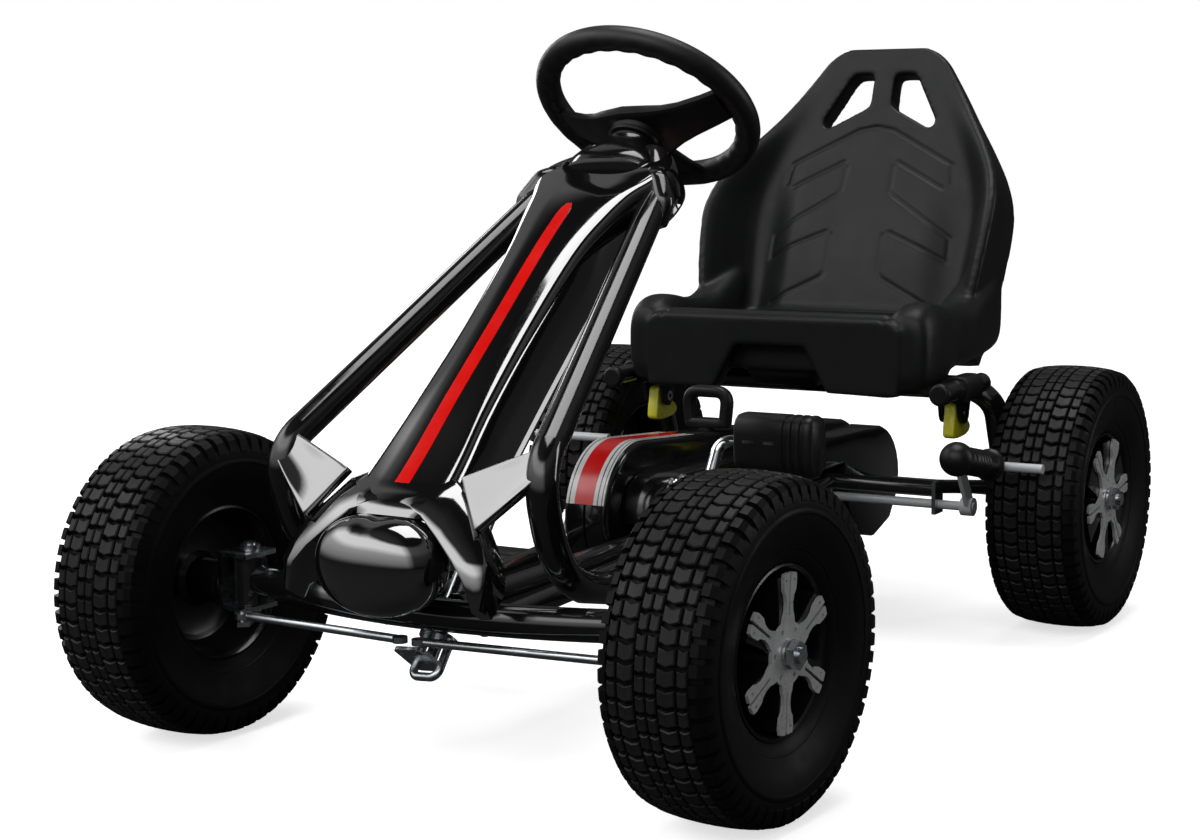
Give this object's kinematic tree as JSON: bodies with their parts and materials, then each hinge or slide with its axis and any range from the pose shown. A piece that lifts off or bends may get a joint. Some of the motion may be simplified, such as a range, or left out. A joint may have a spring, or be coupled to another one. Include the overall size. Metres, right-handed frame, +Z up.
{
  "type": "pedal go kart",
  "caption": "Child's pedal go kart: bent tube frame, nose shell, steering wheel and linkage, cased chain drive to the rear axle, bucket seat on rails and hand brake.",
  "frame": {"origin": "on the ground under the middle of the kart's box", "axes": "+X the driver's left, -Y the front, +Z up"},
  "size_m": [0.6286, 1.0242, 0.5913],
  "materials": {
    "frame_black": "gloss black enamel",
    "zinc": "zinc plated",
    "chrome": "bright plated",
    "bar_grey": "light grey enamel",
    "drive_steel": "oiled",
    "tyre_black": "moulded, block tread",
    "rim_black": "satin black",
    "spider_silver": "silver",
    "shell_black": "high gloss black",
    "seat_black": "fine grained black",
    "trim_black": "moulded black",
    "grip_black": "fine texture",
    "lever_green": "yellow green"
  },
  "bodies": {
    "chassis": {"front_beam": "frame_black", "main_tube": "frame_black", "side_tubes": "frame_black", "frame_tube_left": "frame_black", "frame_tube_right": "frame_black", "head_plate": "frame_black", "head_bush": "trim_black", "column_bracket": "zinc", "cross_tubes": "frame_black", "rear_stays": "frame_black", "rear_arch": "frame_black", "axle_bearings": "frame_black", "seat_rails": "frame_black", "rail_caps": "trim_black", "crank_shell": "frame_black", "chain_case_left": "shell_black", "chain_case_right": "shell_black", "case_cover": "shell_black", "brake_plates": "zinc", "fairing": "shell_black", "nose_bulb": "shell_black", "wing_left": "shell_black", "wing_right": "shell_black", "kingpins": "zinc", "chain": "drive_steel"},
    "steering": {"steering_column": "zinc", "steering_rim": "grip_black", "steering_hub": "trim_black"},
    "knuckle_left": {"knuckle_left": "zinc", "hub_nut_left": "zinc"},
    "wheel_front_left": {"tyre_front_left": "tyre_black", "rim_front_left": "rim_black", "spider_front_left": "spider_silver"},
    "tie_rod_left": {"tie_rod_left": "zinc"},
    "knuckle_right": {"knuckle_right": "zinc", "hub_nut_right": "zinc"},
    "wheel_front_right": {"tyre_front_right": "tyre_black", "rim_front_right": "rim_black", "spider_front_right": "spider_silver"},
    "tie_rod_right": {"tie_rod_right": "zinc"},
    "rear_axle": {"rear_axle": "zinc", "rear_sprocket": "drive_steel", "hub_nuts_rear": "zinc", "tyre_rear_left": "tyre_black", "rim_rear_left": "rim_black", "spider_rear_left": "spider_silver", "tyre_rear_right": "tyre_black", "rim_rear_right": "rim_black", "spider_rear_right": "spider_silver"},
    "crank": {"crank_rod": "chrome", "chainring": "drive_steel"},
    "pedal_left": {"pedal_left": "trim_black"},
    "pedal_right": {"pedal_right": "trim_black"},
    "brake": {"brake_shaft": "bar_grey", "brake_grip": "trim_black"},
    "selector": {"selector_handle": "trim_black"},
    "seat": {"seat_shell": "seat_black", "seat_brackets": "zinc"},
    "lock_lever_left": {"lock_lever_left": "lever_green"},
    "lock_lever_right": {"lock_lever_right": "lever_green"}
  },
  "joints": [
    {"name": "steering_turn", "type": "hinge", "parent": "chassis", "child": "steering", "pos_m": [0, -0.0535, 0.52], "axis": [0, 0.6428, 0.766], "range_deg": [-36.8, 53.2]},
    {"name": "knuckle_left_turn", "type": "hinge", "parent": "chassis", "child": "knuckle_left", "pos_m": [0.2, -0.38, 0.136], "axis": [0, 0, 1], "range_deg": [-20.5, 29.5]},
    {"name": "wheel_front_left_spin", "type": "hinge", "parent": "knuckle_left", "child": "wheel_front_left", "pos_m": [0.25982, -0.38471, 0.13], "axis": [0.9969, -0.0785, 0], "continuous": true},
    {"name": "tie_rod_left_swing", "type": "hinge", "parent": "knuckle_left", "child": "tie_rod_left", "pos_m": [0.16895, -0.41768, 0.116], "axis": [0, 0, 1], "range_deg": [-36, 25]},
    {"name": "knuckle_right_turn", "type": "hinge", "parent": "chassis", "child": "knuckle_right", "pos_m": [-0.2, -0.38, 0.136], "axis": [0, 0, 1], "range_deg": [-20.5, 29.5]},
    {"name": "wheel_front_right_spin", "type": "hinge", "parent": "knuckle_right", "child": "wheel_front_right", "pos_m": [-0.25982, -0.37529, 0.13], "axis": [0.9969, -0.0785, 0], "continuous": true},
    {"name": "tie_rod_right_swing", "type": "hinge", "parent": "knuckle_right", "child": "tie_rod_right", "pos_m": [-0.17522, -0.42207, 0.116], "axis": [0, 0, 1], "range_deg": [-36, 25]},
    {"name": "rear_axle_spin", "type": "hinge", "parent": "chassis", "child": "rear_axle", "pos_m": [0, 0.34, 0.13], "axis": [1, 0, 0], "continuous": true},
    {"name": "crank_spin", "type": "hinge", "parent": "chassis", "child": "crank", "pos_m": [0, -0.086, 0.162], "axis": [1, 0, 0], "continuous": true},
    {"name": "pedal_left_spin", "type": "hinge", "parent": "crank", "child": "pedal_left", "pos_m": [0.125, -0.04515, 0.2249], "axis": [1, 0, 0], "continuous": true},
    {"name": "pedal_right_spin", "type": "hinge", "parent": "crank", "child": "pedal_right", "pos_m": [-0.125, -0.12685, 0.0991], "axis": [1, 0, 0], "continuous": true},
    {"name": "brake_pull", "type": "hinge", "parent": "chassis", "child": "brake", "pos_m": [0, 0.23, 0.131], "axis": [-1, 0, 0], "range_deg": [0, 12]},
    {"name": "selector_lift", "type": "slide", "parent": "chassis", "child": "selector", "axis": [0, 0, 1], "range_m": [0, 0.012]},
    {"name": "seat_slide", "type": "slide", "parent": "chassis", "child": "seat", "axis": [0, 1, 0], "range_m": [-0.03, 0.01]},
    {"name": "lock_lever_left_turn", "type": "hinge", "parent": "seat", "child": "lock_lever_left", "pos_m": [0.166, 0.262, 0.218], "axis": [1, 0, 0], "range_deg": [0, 35]},
    {"name": "lock_lever_right_turn", "type": "hinge", "parent": "seat", "child": "lock_lever_right", "pos_m": [-0.166, 0.262, 0.218], "axis": [1, 0, 0], "range_deg": [0, 35]}
  ],
  "couplings": [
    {"joint": "knuckle_left_turn", "follows": "steering_turn", "ratio": 0.55},
    {"joint": "tie_rod_left_swing", "follows": "steering_turn", "ratio": -0.656},
    {"joint": "knuckle_right_turn", "follows": "steering_turn", "ratio": 0.55},
    {"joint": "tie_rod_right_swing", "follows": "steering_turn", "ratio": -0.664},
    {"joint": "crank_spin", "follows": "rear_axle_spin", "ratio": 0.64583}
  ]
}
